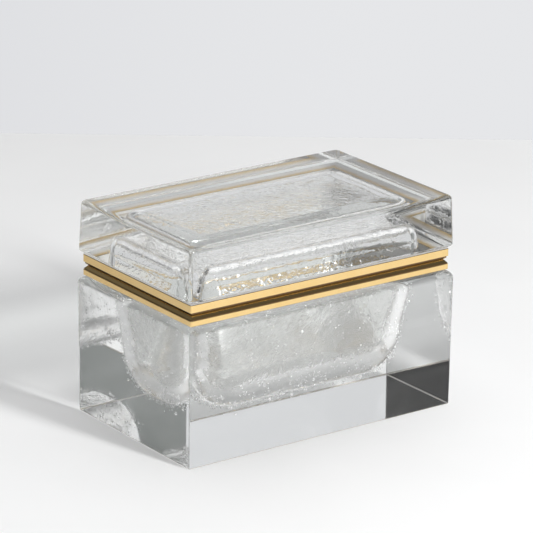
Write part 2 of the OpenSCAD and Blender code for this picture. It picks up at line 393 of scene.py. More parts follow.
def bowl_rows(mouth, lean, ball_r, depth, lip):
    """Half sizes, corner radius and depth of a bowl's rings, from the lip to the far centre.

    The lip is a quarter round. The walls lean in by lean down to the balls' middles, with the
    corner radius running from the mouth's to the balls'. Then each half size falls by
    ball_r * (1 - cos t) while the depth grows by ball_r * sin t, and the floor closes in.
    """
    mouth_x, mouth_y, mouth_r = mouth
    t = ease(LIP_STEPS)[:-1] * math.pi / 2
    lip_in = lip * (1 - np.sin(t))
    rows = [(mouth_x + lip_in, mouth_y + lip_in, mouth_r + lip_in, lip * (1 - np.cos(t)))]
    straight = depth - ball_r
    down = lip + (straight - lip) * ease(WALL_STEPS)[:-1]
    part = down / straight
    rows.append((mouth_x - lean * part, mouth_y - lean * part,
                 mouth_r + (ball_r - mouth_r) * part, down))
    t = ease(TURN_STEPS)[:-1] * math.pi / 2 * TURN_SHARE
    inset = lean + ball_r * (1 - np.cos(t))
    rows.append((mouth_x - inset, mouth_y - inset, ball_r * np.cos(t),
                 straight + ball_r * np.sin(t)))
    s = ease(FLOOR_STEPS, FLOOR_SHARE)
    rows.append((*(rows[-1][k][-1] * (1 - s) for k in range(3)), depth + 0 * s))
    return [np.concatenate(parts) for parts in zip(*rows)]


def ball(segments, rings):
    """A unit ball as a grid of angles: its corners, its quads and its end triangles."""
    u = np.arange(segments) * 2 * math.pi / segments
    v = (np.arange(1, rings) * math.pi / rings)[:, None]
    side = np.stack([np.sin(v) * np.cos(u), np.sin(v) * np.sin(u),
                     np.repeat(np.cos(v), segments, 1)], -1).reshape(-1, 3)
    points = np.concatenate([side, [[0, 0, 1], [0, 0, -1]]])
    return points, grid_quads(rings - 1, segments), caps(len(side), rings - 1, segments)


def scatter_bubbles(surface, normals, depth_share, grade, g, seed, skin):
    """Centres and radii of one grade of bubbles in the glass round a bowl.

    Places on the bowl are drawn in proportion to their area times a patchy density, the
    positive part of slow waves, which grows where the walls turn into the floor. They are
    then moved into the glass along the normal by the radius and a distance that falls off
    like a decaying curve. Radii follow a log-normal curve.
    """
    number, usual, spread_r, low = grade
    rng = np.random.default_rng(seed)
    centre = (surface[:-1] + surface[1:]) / 2
    along = np.roll(surface, -1, axis=1)[:-1] - surface[:-1]
    across = surface[1:] - surface[:-1]
    area = np.linalg.norm(np.cross(along, across), axis=-1)
    patchy = BETWEEN + np.clip(waves(centre, PATCH, seed), 0.0, 1.0)
    turn = 1.0 + low * np.exp(-((depth_share[:-1, None] - TURN_AT) / TURN_SPREAD) ** 2)
    weight = (area * patchy * turn).ravel()
    pick = rng.choice(weight.size, size=number, p=weight / weight.sum())
    spot, along, across, into = (v.reshape(-1, 3)[pick]
                                 for v in (centre, along, across, -normals[:-1]))
    for edge in (along, across):
        spot = spot + edge * rng.uniform(-0.5, 0.5, (number, 1))
    radius = usual * rng.lognormal(0.0, spread_r, number)
    away = np.minimum(rng.exponential(g.bubble_depth, number), g.bubble_reach)
    away = away + radius * CLEAR_SHARE + CLEAR
    place = spot + into * away[:, None]
    margin = radius[:, None] + SKIN_CLEAR
    inside = np.all((place > skin[0] + margin) & (place < skin[1] - margin), axis=1)
    return place[inside], radius[inside]


def bubble_faces(places, radii, unit, first):
    """Voids of one grade as arrays: a unit ball set at each place, turned inside out."""
    points, *faces = unit
    voids = (places[:, None, :] + radii[:, None, None] * points[None]).reshape(-1, 3)
    start = (first + np.arange(len(places)) * len(points))[:, None, None]
    return voids, *((start + f[None]).reshape(-1, f.shape[1])[:, ::-1] for f in faces)


def outer_rows(own, g, height, lip_h):
    """Insets, levels and corner radii from the far face's rim to the brass, and the row where
    the seat starts. The bevel and the shoulder are quarter rounds."""
    t = ease(BEVEL_STEPS) * math.pi / 2
    s = ease(SHOULDER_STEPS) * math.pi / 2
    e = ease(EDGE_STEPS) * math.pi / 2
    drop = own["shoulder"] - g.rim_slope
    seat_in = BASE_HI[1] - RIM_HALF_Y + RIM_WIDTH + g.seat_gap
    inset = np.concatenate([
        own["lean"] + own["bevel"] * (1 - np.sin(t)), g.shoulder_in * (1 - np.cos(s)),
        [seat_in], seat_in + INNER_EDGE * (1 - np.cos(e)),
    ])
    level = np.concatenate([
        own["bevel"] * (1 - np.cos(t)), height - g.rim_slope - drop * (1 - np.sin(s)),
        [height], height + lip_h - INNER_EDGE * (1 - np.sin(e)),
    ])
    corner = np.concatenate([
        own["upright"] + 0 * t, own["upright"] + g.shoulder_r * (1 - np.cos(s)),
        np.full(len(e) + 1, INNER_CORNER),
    ])
    return inset, level, corner, len(t) + len(s) - 1


def glass_block(name, box, lip_h, own, g, upside_down):
    """A closed glass block: its polished skin, its rippled bowl and the bubbles between them.

    Rings of rounded rectangles are carried from the middle of the far face, out round the
    foot or top, along the walls and over the shoulder to the brass, and down into the bowl.
    """
    lo, (half_x, half_y, top) = box
    height = top - lo[2]
    inset, level, corner, seat = outer_rows(own, g, height, lip_h)
    depth, lean, ball_r = height - own["left"], own["bowl_lean"], own["bowl_r"]
    # The bowl is carried on up to the lip with the same lean.
    out = lean * lip_h / (depth - ball_r)
    mouth = BASE_HI[0] - g.end_wall + out, BASE_HI[1] - g.side_wall + out, g.mouth_r
    mouth_x, mouth_y, mouth_r, depth = bowl_rows(mouth, lean + out, ball_r, depth + lip_h, g.lip)
    plan = ring(np.concatenate([half_x - inset, mouth_x]),
                np.concatenate([half_y - inset, mouth_y]), np.concatenate([corner, mouth_r]))
    z = np.concatenate([level, height + lip_h - depth])
    points = np.concatenate([plan, np.repeat(z[:, None, None], plan.shape[1], 1)], -1)
    first_bowl = len(inset)
    hollow = points[first_bowl:]
    fade = np.clip((depth - lip_h) / SWELL_DEPTH, 0.0, 1.0)[:, None, None]
    swell = waves(hollow, SWELL, own["draw"])
    swell = swell + FINE_SHARE * waves(hollow, FINE_SWELL, own["draw"] + 1)
    hollow = hollow + grid_normals(hollow) * (g.ripple * fade * swell[..., None])
    points[first_bowl:] = hollow
    normals = grid_normals(hollow)

    rows, columns = plan.shape[:2]
    grid = points.reshape(-1, 3)
    poles = np.array([[0, 0, z[0]], [0, 0, points[-1, :, 2].mean()]])
    row = np.arange(rows - 1)
    part = np.where(row >= first_bowl, BOWL, np.where(row >= seat, SEAT, SKIN))
    part[first_bowl - 2:first_bowl] = GROUND
    if not upside_down:
        part[:BEVEL_STEPS] = GROUND
    on_side = np.concatenate([np.repeat([False, True], (CORNER_STEPS, n)) for n in SIDE_STEPS])
    level_row = np.isin(row, (first_bowl - 1, seat, seat + 1))
    flat = (on_side & (row == BEVEL_STEPS)[:, None]) | level_row[:, None]

    numbers = int(g.seeds * own["share"]), int(g.bubbles * own["share"]), own["beads"]
    usual = g.seed_r, g.bubble_r, g.bead_r
    parts, quads = [grid, poles], [grid_quads(rows, columns)]
    tris = [caps(len(grid), rows, columns)]
    kinds = [np.repeat(part, columns)], [
        np.repeat([SKIN if upside_down else FOOT, BOWL], columns)]
    skin = np.array([-half_x, -half_y, 0.0]), np.array([half_x, half_y, height])
    first = len(grid) + len(poles)
    for k, (kind, steps, *spreads) in enumerate(GRADES):
        grade = numbers[k], usual[k], *spreads
        places, radii = scatter_bubbles(hollow, normals, depth / depth.max(), grade, g,
                                        own["draw"] + 2 + k, skin)
        voids, *more = bubble_faces(places, radii, ball(*steps), first)
        parts.append(voids)
        for faces, slots, made in zip((quads, tris), kinds, more):
            faces.append(made)
            slots.append(np.full(len(made), kind))
        first += len(voids)

    points = np.concatenate(parts)
    points[:, 2] = lo[2] + (points[:, 2] if not upside_down else height - points[:, 2])
    quads, tris = np.concatenate(quads), np.concatenate(tris)
    if upside_down:
        quads, tris = quads[:, ::-1], tris[:, ::-1]
    every_flat = np.zeros(len(quads) + len(tris), bool)
    every_flat[:flat.size] = flat.ravel()
    every_flat[len(quads):len(quads) + columns] = True
    slots = np.concatenate([*kinds[0], *kinds[1]])
    return mesh_from(name, points, quads, tris, every_flat, slots)


def blend_corner(before, corner, after):
    """A rounded corner: the quadratic curve from before to after that is pulled to corner."""
    s = ease(BLEND_STEPS)[:, None]
    before, corner, after = (np.asarray(p, float) for p in (before, corner, after))
    return (1 - s) ** 2 * before + 2 * s * (1 - s) * corner + s ** 2 * after


def rail_outline(height, band, slot_h, b, width, channel=None):
    """Section of a rail as (inward, up) points, going up its outer face.

    Long corners are rounded. Above the band a fine slot runs in, and the groove's slope
    follows, on the line from the band's edge to the groove's root. With channel = (radius,
    axis height) the slot and the slope give way to a round channel about the hinge line, with
    as many points.
    """
    edge, groove_d = b.edge_r, b.groove_d
    slope = np.array([groove_d, height - band])
    slope /= np.linalg.norm(slope)
    foot = blend_corner((edge, 0), (0, 0), (0, edge))
    top = np.array([groove_d, height])
    shoulder = blend_corner((0, band - edge), (0, band), (edge, band))
    slot_in = slot_h * groove_d / (height - band)
    slot_d = max(b.slot_d, slot_in + SLOT_LEAST)
    slot = np.array([(slot_d, band), (slot_d, band + slot_h), (slot_in, band + slot_h)])
    root = blend_corner(top - b.root_r * slope, top, (groove_d + b.root_r, height))
    groove = np.concatenate([shoulder, slot, root])
    if channel is not None:
        radius, axis = channel
        first = math.atan2(-math.sqrt(radius ** 2 - groove_d ** 2), -groove_d)
        last = -math.asin((axis - height) / radius)
        t = np.linspace(first + 2 * math.pi, last + 2 * math.pi, len(groove))
        groove = np.stack([groove_d + radius * np.cos(t), axis + radius * np.sin(t)], -1)
    inner_top = blend_corner((width - edge, height), (width, height), (width, height - edge))
    inner_foot = blend_corner((width, edge), (width, 0), (width - edge, 0))
    return np.concatenate([foot, groove, inner_top, inner_foot])


def outline_is_flat(has_channel):
    """True for the steps of a rail's outline that are straight, in rail_outline's order."""
    bend = [False] * BLEND_STEPS
    groove = bend + [not has_channel] * 4 + bend
    return np.array(bend + [True] + groove + [True] + bend + [True] + bend + [True])


def rail_mesh(name, half, outlines, stations, corner_r, beds, place):
    """A mitred rail of twice half's length: sections carried along X between stations.

    A station of None is a mitred end. There a point that lies q inside the outer face stops q
    short of the corner, and a few sections before it round the outer corner off: at an angle
    of t the section stands corner_r * (1 - sin t) short of the corner, and no point lies
    further out than corner_r * (1 - cos t). place turns (along, inward, up) into the casket's
    own frame. beds holds the cement on the inner face and on the edge beside it.
    """
    columns = len(outlines[0])
    sections, kinds = [], []
    for n, (outline, station) in enumerate(zip(outlines, stations)):
        q, up = outline.T
        if station is not None:
            sections.append((np.full(columns, station), q, up))
            kinds.append(outline)
            continue
        sign = -1 if n == 0 else 1
        end = []
        for k, t in enumerate(ease(CORNER_TURNS) * math.pi / 4):
            held = np.maximum(q, corner_r * (1 - math.cos(t)))
            short = np.maximum(corner_r * (1 - math.sin(t)),
                               held + (CORNER_TURNS - k) * SECTION_STEP)
            end.append((sign * (half - short), held, up))
        sections += end[::sign]
        kinds += [None] * len(end)
    grid = np.stack([np.stack(section, -1) for section in sections])
    rows = len(grid) - 1
    plain = outline_is_flat(False)
    rounded = plain.copy()
    rounded[BLEND_STEPS] = False
    straight = []
    for i, (a, b) in enumerate(zip(kinds[:-1], kinds[1:])):
        if a is None and b is None and i != CORNER_TURNS:
            straight.append(rounded)
        elif a is None or b is None:
            straight.append(plain)
        elif a is b:
            straight.append(outline_is_flat(a is not outlines[1]))
        else:
            straight.append(np.ones(columns, bool))

    outline = np.concatenate([outlines[0], outlines[0][:1]])
    around = np.append(0, np.cumsum(np.linalg.norm(np.diff(outline, axis=0), axis=1)))
    i, j = np.divmod(np.arange(rows * columns), columns)
    k = (j + 1) % columns
    uv = np.stack([np.stack([grid[at, to, 0], around[step]], -1) for at, to, step in (
        (i + 1, j, j), (i + 1, k, j + 1), (i, k, j + 1), (i, j, j))], 1)
    points = np.concatenate([grid.reshape(-1, 3), grid[[0, -1]].mean(axis=1)])
    tris = caps(grid[..., 0].size, rows + 1, columns)
    uv = np.concatenate([uv.reshape(-1, 2), np.zeros((tris.size, 2))])
    flat = np.concatenate([*straight, np.ones(len(tris), bool)])
    slots = np.concatenate([np.tile(RAIL_STEPS, rows), np.full(len(tris), RAIL)])
    cement = np.zeros(columns)
    cement[[0, INNER_FACE, INNER_FACE + 1]] = 1.0, *beds
    cement = np.append(np.tile(cement, rows + 1), [0.0, 0.0])
    mesh = mesh_from(name, place(points), grid_quads(rows + 1, columns)[:, ::-1],
                     tris[:, ::-1], flat, slots, uv, cement)
    weld(mesh)
    return mesh


def weld(mesh):
    """Joins the corners that lie on each other where two sections share a station."""
    grid = bmesh.new()
    grid.from_mesh(mesh)
    bmesh.ops.remove_doubles(grid, verts=grid.verts, dist=WELD)
    bmesh.ops.dissolve_degenerate(grid, edges=grid.edges, dist=WELD)
    grid.to_mesh(mesh)
    grid.free()


def turned(name, profile, flat_steps, axis_x):
    """A profile of (along X, radius) points, closed on itself, turned once round the hinge
    line: each point goes to radius * (cos t, sin t) about it."""
    t = np.arange(ROUND_STEPS) * 2 * math.pi / ROUND_STEPS
    along, radius = profile.T[..., None]
    points = np.stack([
        axis_x + along + 0 * t, HINGE_Y + radius * np.cos(t), HINGE_Z + radius * np.sin(t),
    ], -1)
    rows = len(profile)
    i = np.arange(rows)[:, None] * ROUND_STEPS
    n = np.roll(i, -1)
    j = np.arange(ROUND_STEPS)[None, :]
    k = (j + 1) % ROUND_STEPS
    quads = np.stack([i + j, n + j, n + k, i + k], -1).reshape(-1, 4)
    v = np.stack([j, j, j + 1, j + 1], -1) * 2 * math.pi / ROUND_STEPS * radius[..., None]
    uv = np.stack([np.broadcast_to(along[..., None], v.shape), v], -1).reshape(-1, 2)
    flat = np.repeat(flat_steps, ROUND_STEPS)
    return mesh_from(name, points.reshape(-1, 3), quads, NO_TRIS, flat, uv=uv)


# ---------------------------------------------------------------- materials


def feed(tree, socket, value):
    """Links a socket to a value that is a socket, or else sets it."""
    if isinstance(value, bpy.types.NodeSocket):
        tree.links.new(value, socket)
    else:
        socket.default_value = value


def add(tree, kind, **values):
    """A shader node of a kind, its named inputs set or linked."""
    made = tree.nodes.new("ShaderNode" + kind)
    for key, value in values.items():
        feed(tree, made.inputs[key.replace("_", " ")], value)
    return made


def math_op(tree, operation, *values):
    """A Math node with its inputs set or linked, in order."""
    made = add(tree, "Math")
    made.operation = operation
    for socket, value in zip(made.inputs, values):
        feed(tree, socket, value)
    return made.outputs[0]


def dot_node(tree, way, direction):
    """How far a vector reaches along a direction."""
    made = add(tree, "VectorMath")
    made.operation = "DOT_PRODUCT"
    feed(tree, made.inputs[0], way)
    feed(tree, made.inputs[1], direction)
    return made.outputs["Value"]


def spread(tree, value, low, high, to_low=0.0, to_high=1.0):
    """Maps a value from one range onto another, with a soft start and end."""
    made = add(tree, "MapRange", Value=value, From_Min=low, From_Max=high,
               To_Min=to_low, To_Max=to_high)
    made.interpolation_type = "SMOOTHSTEP"
    return made.outputs["Result"]


def mix(tree, portion, first, second):
    """Two colours mixed by a share from 0 to 1."""
    made = add(tree, "Mix")
    made.data_type = "RGBA"
    for index, value in zip(MIX_INPUTS, (portion, first, second)):
        feed(tree, made.inputs[index], value)
    return made.outputs[MIX_OUTPUT]


def rgba(values, scale=1.0):
    """A colour, scaled, with full alpha."""
    return (*(value * scale for value in values), 1.0)


def grey(value):
    """A grey colour."""
    return rgba([value] * 3)


def new_group(name, inputs, outputs):
    """An empty node group with float inputs, {name: default}, and float outputs."""
    tree = bpy.data.node_groups.new(name, "ShaderNodeTree")
    for label, default in inputs.items():
        socket = tree.interface.new_socket(label, in_out="INPUT", socket_type="NodeSocketFloat")
        socket.default_value = default
    for label in outputs:
        tree.interface.new_socket(label, in_out="OUTPUT", socket_type="NodeSocketFloat")
    return tree, tree.nodes.new("NodeGroupInput"), tree.nodes.new("NodeGroupOutput")


def brushing_group(name):
    """Fine lines along a piece's own UV map, with a little broad cloudiness."""
    tree, given, out = new_group(name, {"Along": 60.0, "Across": 9000.0, "Cloud": 90.0},
                                 ("Lines", "Clouds"))
    place = add(tree, "UVMap")
    place.uv_map = "along"
    parts = add(tree, "SeparateXYZ", Vector=place.outputs[0])
    stretched = add(tree, "CombineXYZ",
                    X=math_op(tree, "MULTIPLY", parts.outputs[0], given.outputs["Along"]),
                    Y=math_op(tree, "MULTIPLY", parts.outputs[1], given.outputs["Across"]))
    lines = add(tree, "TexNoise", Vector=stretched.outputs[0], Scale=1.0, Detail=3.0,
                Roughness=0.6)
    clouds = add(tree, "TexNoise", Vector=place.outputs[0], Scale=given.outputs["Cloud"],
                 Detail=4.0, Roughness=0.55)
    feed(tree, out.inputs["Lines"], lines.outputs[0])
    feed(tree, out.inputs["Clouds"], clouds.outputs[0])
    return tree


def seed_group(name):
    """The small dimples that gas leaves in glass: soft cells of two sizes over slow waves."""
    tree, given, out = new_group(name, {"Fine": 900.0, "Coarse": 300.0}, ("Height",))
    place = add(tree, "TexCoord")
    cells = []
    for label in ("Fine", "Coarse"):
        cell = add(tree, "TexVoronoi", Vector=place.outputs["Object"], Scale=given.outputs[label])
        cell.feature = "SMOOTH_F1"
        cells.append(spread(tree, cell.outputs["Distance"], 0.05, 0.55))
    slow = add(tree, "TexNoise", Vector=place.outputs["Object"], Scale=140.0, Detail=2.0)
    height = math_op(tree, "MULTIPLY_ADD", cells[0], 0.35, cells[1])
    height = math_op(tree, "MULTIPLY_ADD", slow.outputs[0], 1.6, height)
    feed(tree, out.inputs["Height"], height)
    return tree


def place_group(tree, maker, **values):
    """A shared group, built once, placed in a material with this material's own values."""
    name = {brushing_group: "Lengthwise brushing", seed_group: "Seedy glass"}[maker]
    made = add(tree, "Group")
    made.node_tree = bpy.data.node_groups.get(name) or maker(name)
    for key, value in values.items():
        made.inputs[key].default_value = value
    return made


def bump(tree, distance, height):
    """A bump of some depth in metres, as a normal."""
    return add(tree, "Bump", Strength=1.0, Distance=distance, Height=height).outputs[0]


def glass(tree, roughness=0.0, milk=0.0, relief=0.0, wall=0.97, level=0.98, ior=1.54,
          base=(1.0, 1.0, 1.0)):
    """Clear glass, with a share of milk for the haze of tiny bubbles. On the seeds the milk
    is partly a painted glint: white specks, lit by the lamps, that stand in for the lamp's
    glints in tiny bubbles. The renderer's caustics are off, so lamp light and soft light pass
    straight through: each face keeps a share of them, wall at upright faces and level at level
    ones. Lamp light is stopped where it would graze a face. The light inside is absorbed on
    its way."""
    body = add(tree, "BsdfPrincipled", Base_Color=rgba(base), Roughness=roughness, IOR=ior,
               Transmission_Weight=1.0 - milk)
    if relief:
        seeds = place_group(tree, seed_group)
        feed(tree, body.inputs["Normal"], bump(tree, relief, seeds.outputs[0]))
    path = add(tree, "LightPath")
    turned_up = add(tree, "SeparateXYZ", Vector=add(tree, "NewGeometry").outputs["Normal"])
    slope = math_op(tree, "ABSOLUTE", turned_up.outputs[2])
    kept = mix(tree, spread(tree, slope, *LEVEL_SPAN), grey(wall), grey(level))
    slant = add(tree, "LayerWeight", Blend=0.5)
    lamp_kept = mix(tree, spread(tree, slant.outputs["Facing"], *GRAZE_SPAN), kept, BLACK)
    shader = body
    for ray, left in (("Is Shadow Ray", lamp_kept), ("Is Diffuse Ray", kept)):
        passing = add(tree, "BsdfTransparent", Color=left)
        mixed = add(tree, "MixShader")
        for socket, value in zip(mixed.inputs, (path.outputs[ray], shader.outputs[0],
                                                passing.outputs[0])):
            feed(tree, socket, value)
        shader = mixed
    g = settings_of("casket_glass")
    return shader, add(tree, "VolumeAbsorption", Color=rgba(g.tint), Density=g.density)


def brass(tree, roughness, lines, dark=1.0, sheen=0.0):
    """Gilded brass: brushed fine along each piece, its gilding cloudy and a little thin. dark
    scales its colour down; in the groove that is painted shade.
    """
    b = settings_of("casket_brass")
    brush = place_group(tree, brushing_group)
    thin = spread(tree, brush.outputs["Clouds"], 0.35, 0.75)
    drawn = spread(tree, brush.outputs["Lines"], 0.35, 0.65)
    worn = math_op(tree, "MULTIPLY_ADD", thin, 0.30, math_op(tree, "MULTIPLY", drawn, 0.30))
    rough = spread(tree, brush.outputs["Lines"], 0.3, 0.7, roughness * 0.8, roughness * 1.25)
    return add(tree, "BsdfPrincipled", Metallic=1.0, Roughness=rough,
               Base_Color=mix(tree, worn, rgba(b.gilt, dark), rgba(b.worn, dark)),
               Normal=bump(tree, lines, brush.outputs["Lines"]),
               Sheen_Weight=sheen, Sheen_Roughness=0.5), None


def crevice(tree):
    """Painted shade: near-black, lighter in random patches, for the shade deep in the fine
    slots and in the seams where the rails meet the glass and each other.
    """
    b = settings_of("casket_brass")
    place = add(tree, "TexCoord")
    patch = add(tree, "TexNoise", Vector=place.outputs["Object"], Scale=900.0)
    tone = mix(tree, patch.outputs[0], rgba(b.crevice), rgba(b.recess_shade_patches))
    return add(tree, "BsdfPrincipled", Base_Color=tone, Roughness=0.55), None


def bedded(tree):
    """The rails' faces that lie on the glass or look into the bowl: dull brass, streaked with
    the pale cement that holds it."""
    b = settings_of("casket_brass")
    brush = place_group(tree, brushing_group, Along=40.0, Across=1500.0, Cloud=260.0)
    thick = add(tree, "Attribute")
    thick.attribute_name = "cement"
    smear = math_op(tree, "MULTIPLY_ADD", brush.outputs["Clouds"], 0.35, thick.outputs["Fac"])
    covered = spread(tree, smear, 0.22, 0.80)
    return add(tree, "BsdfPrincipled",
               Base_Color=mix(tree, covered, rgba(b.tarnish), rgba(b.cement)),
               Metallic=math_op(tree, "MULTIPLY_ADD", covered, -0.6, 0.6),
               Roughness=spread(tree, brush.outputs["Lines"], 0.3, 0.7, 0.50, 0.65),
               Normal=bump(tree, 0.03 * MM, brush.outputs["Clouds"])), None


def table_top(tree):
    """A matt pale table top with a faint mottle, and painted shade that makes it a little darker
    on the left.
    """
    stage = settings_of("casket_stage")
    place = add(tree, "TexCoord").outputs["Object"]
    noise = add(tree, "TexNoise", Vector=place, Scale=9.0, Detail=3.0)
    right = dot_node(tree, place, (math.cos(stage.azimuth), math.sin(stage.azimuth), 0))
    # Painted shade: the table grows darker towards the left.
    pale = mix(tree, spread(tree, right, *TABLE_SPAN),
               rgba(stage.table, stage.table_left_shade), rgba(stage.table))
    mottle = spread(tree, noise.outputs[0], 0.3, 0.7, 0.0, stage.mottle)
    tone = mix(tree, mottle, pale, BLACK)
    return add(tree, "BsdfPrincipled", Base_Color=tone, Roughness=0.6), None


# Each kind of material: its name, the function that shades it, and what that is told.
MATERIALS = {
    "skin": ("polished_glass", glass, {"wall": 0.985, "base": (0.93, 0.94, 0.935)}),
    "base_bowl": ("milky_glass", glass, {
        "roughness": 0.20, "milk": 0.13, "relief": 0.10 * MM, "level": 0.15,
        "base": (0.93, 0.93, 0.92)}),
    "lid_bowl": ("seedy_glass", glass, {
        "roughness": 0.06, "milk": 0.02, "relief": 0.10 * MM, "level": 0.97}),
    # The seeds' high milk, and a little on the bubbles, gives white specks lit by the lamps:
    # partly haze, partly a painted glint for the lamp's glints in tiny bubbles.
    "bubble": ("bubble_glass", glass, {"milk": 0.12, "wall": 0.99, "level": 0.99}),
    "seed": ("seed_glass", glass, {"milk": 0.85, "roughness": 0.1, "wall": 0.99, "level": 0.99}),
    "foot": ("foot_glass", glass, {"level": 0.72}),
    "ground": ("ground_glass", glass, {
        "milk": 0.40, "roughness": 0.25, "relief": 0.02 * MM, "level": 0.97,
        "base": (0.62, 0.57, 0.50)}),
    "seat": ("wetted_glass", glass, {"ior": 1.0, "wall": 1.0, "level": 1.0}),
    # Painted shade for the rails' slots and seams.
    "crevice": ("dark_crevice", crevice, {}),
    "bedded": ("bedded_brass", bedded, {}),
    "rail": ("gilt_rail", brass, {"roughness": 0.08, "lines": 0.0008 * MM, "sheen": 0.1}),
    # The groove's gilt, darkened by dark, is painted shade in the groove and on the inner edges.
    "groove": ("toned_groove", brass, {"roughness": 0.07, "lines": 0.0003 * MM, "dark": 0.8}),
    "knuckle": ("gilt_knuckle", brass, {"roughness": 0.14, "lines": 0.0012 * MM}),
    "pin": ("drawn_pin", brass, {"roughness": 0.22, "lines": 0.002 * MM, "dark": 0.85}),
    "table": ("table_top", table_top, {}),
}


def shared_material(kind):
    """The casket's material of one kind, built once. What shades it gives its surface and its
    volume, if any."""
    name, shade, values = MATERIALS[kind]
    if name in bpy.data.materials:
        return bpy.data.materials[name]
    material = bpy.data.materials.new(name)
    material.use_nodes = True
    tree = material.node_tree
    tree.nodes.clear()
    out = add(tree, "OutputMaterial")
    surface, volume = shade(tree, **values)
    feed(tree, out.inputs["Surface"], surface.outputs[0])
    if volume:
        feed(tree, out.inputs["Volume"], volume.outputs[0])
    return material


# ---------------------------------------------------------------- pieces


def place_piece(mesh, body, node, kinds):
    """Puts a finished mesh into the scene as a piece that rides on a body."""
    piece = put(mesh.name, mesh)
    for kind in kinds:
        mesh.materials.append(shared_material(kind))
    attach(piece, body)
    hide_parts(node)


def build_block(body, box, rim_h, bowl_kind, seed_kind):
    """One glass block of the casket, on its CAD box. Its inner lip stands up in its rim."""
    g = settings_of("casket_glass")
    own = {key: getattr(g, f"{body}_{key}") for key in BLOCK_SETTINGS}
    mesh = glass_block(f"{body}_glass", box, rim_h - g.lip_gap, own, g, body == "lid")
    place_piece(mesh, body, f"{body}_block",
                ("skin", bowl_kind, "bubble", seed_kind, "ground", "seat", "foot"))


class CASKET_OT_base_glass(bpy.types.Operator):
    """Build the base block with its bowl and bubbles"""

    bl_idname = "casket.base_glass"
    bl_label = "Base glass"

    def execute(self, context):
        build_block("base", (BASE_LO, BASE_HI), BASE_RIM_H, "base_bowl", "seed")
        return {"FINISHED"}


class CASKET_OT_lid_glass(bpy.types.Operator):
    """Build the lid block with its bowl and bubbles"""

    bl_idname = "casket.lid_glass"
    bl_label = "Lid glass"

    def execute(self, context):
        build_block("lid", (LID_LO, LID_HI), LID_RIM_H, "lid_bowl", "bubble")
        return {"FINISHED"}


def rail_place(quarter, distance, foot_z, up):
    """Turns (along, inward, up) at the front into the frame, after some quarter turns."""
    c, s = round(math.cos(quarter * math.pi / 2)), round(math.sin(quarter * math.pi / 2))

    def place(p):
        x, y, z = p[:, 0], p[:, 1] - distance, foot_z + up * p[:, 2]
        return np.stack([c * x - s * y, s * x + c * y, z], -1)

    return place


def hinged_sections(outline_for, own_prefix, b):
    """Outlines and stations of a back rail: plain ends, and between them the channel, close
    round the rail's own knuckles and free round the others. The knuckles' own CAD boxes give
    the ends of each one's stretch. The back is turned end for end, and the hinge is the same
    both ways."""
    plain = outline_for(None)
    close = outline_for(b.knuckle_d / 2 + b.seat_fit)
    free = outline_for(b.knuckle_d / 2 + b.run_fit)
    spans = sorted((*(corner[0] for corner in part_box(node)), node.startswith(own_prefix))
                   for node in KNUCKLES)
    spare = 0.0 if spans[0][2] else b.run_fit
    cuts = [left[1] if left[2] else right[0] for left, right in zip(spans, spans[1:])]
    cuts = [spans[0][0] - spare, *cuts, spans[-1][1] + spare]
    outlines, stations = [plain, plain], [None, cuts[0]]
    for (_, _, own), start, end in zip(spans, cuts, cuts[1:]):
        outlines += [close if own else free] * 2
        stations += [start, end]
    return outlines + [plain, plain], stations + [cuts[-1], None]


def build_rim(body, foot_z, up, height):
    """The four mitred rails of one rim."""
    b = settings_of("casket_brass")
    band, slot_h, bedding = (getattr(b, f"{body}_{key}") for key in ("band", "slot", "bedding"))

    def outline_for(radius):
        channel = (radius, up * (HINGE_Z - foot_z) - b.glue) if radius else None
        outline = rail_outline(height - b.glue, band - b.glue, slot_h, b, RIM_WIDTH, channel)
        return outline + np.array([0.0, b.glue])

    for quarter, side in enumerate(("front", "right", "back", "left")):
        half, distance = (RIM_HALF_Y, RIM_HALF_X) if quarter % 2 else (RIM_HALF_X, RIM_HALF_Y)
        if side == "back":
            outlines, stations = hinged_sections(outline_for, f"hinge_knuckle_{body}", b)
        else:
            outlines, stations = [outline_for(None)] * 2, [None, None]
        mesh = rail_mesh(f"{body}_rim_{side}", half, outlines, stations, b.corner_r,
                         (bedding, bedding * b.edge_bedding),
                         rail_place(quarter, distance, foot_z, up))
        if up < 0:
            mesh.flip_normals()
        place_piece(mesh, body, f"{body}_rail_{side}",
                    ("rail", "bedded", "crevice", "groove"))


class CASKET_OT_rims(bpy.types.Operator):
    """Build the eight mitred brass rails"""

    bl_idname = "casket.rims"
    bl_label = "Brass rims"

    def execute(self, context):
        build_rim("base", BASE_HI[2], 1, BASE_RIM_H)
        build_rim("lid", LID_LO[2], -1, LID_RIM_H)
        return {"FINISHED"}


def long_face(half, r, edge):
    """One long face of a profile, with both its ends rounded by edge. It runs from half to
    -half, or the other way with half and edge both negative."""
    return [blend_corner((half, r - edge), (half, r), (half - edge, r)),
            blend_corner((edge - half, r), (-half, r), (-half, r - edge))]


def knuckle_profile(half, outer, inner, edge):
    """Closed profile of a knuckle: outer face, rounded ends and bore. Then its flat steps."""
    parts = long_face(half, outer, edge) + long_face(-half, inner, -edge / 2)
    bend = [False] * BLEND_STEPS
    return np.concatenate(parts), np.tile(bend + [False] + bend + [True], 2)


def pin_profile(half, r, edge):
    """Closed profile of the pin, down to a hair round its middle. Then its flat steps."""
    profile = np.concatenate([
        [(half, PIN_MIDDLE)], *long_face(half, r, edge), [(-half, PIN_MIDDLE)]])
    return profile, np.array([True] + [False] * (2 * BLEND_STEPS + 1) + [True, True])


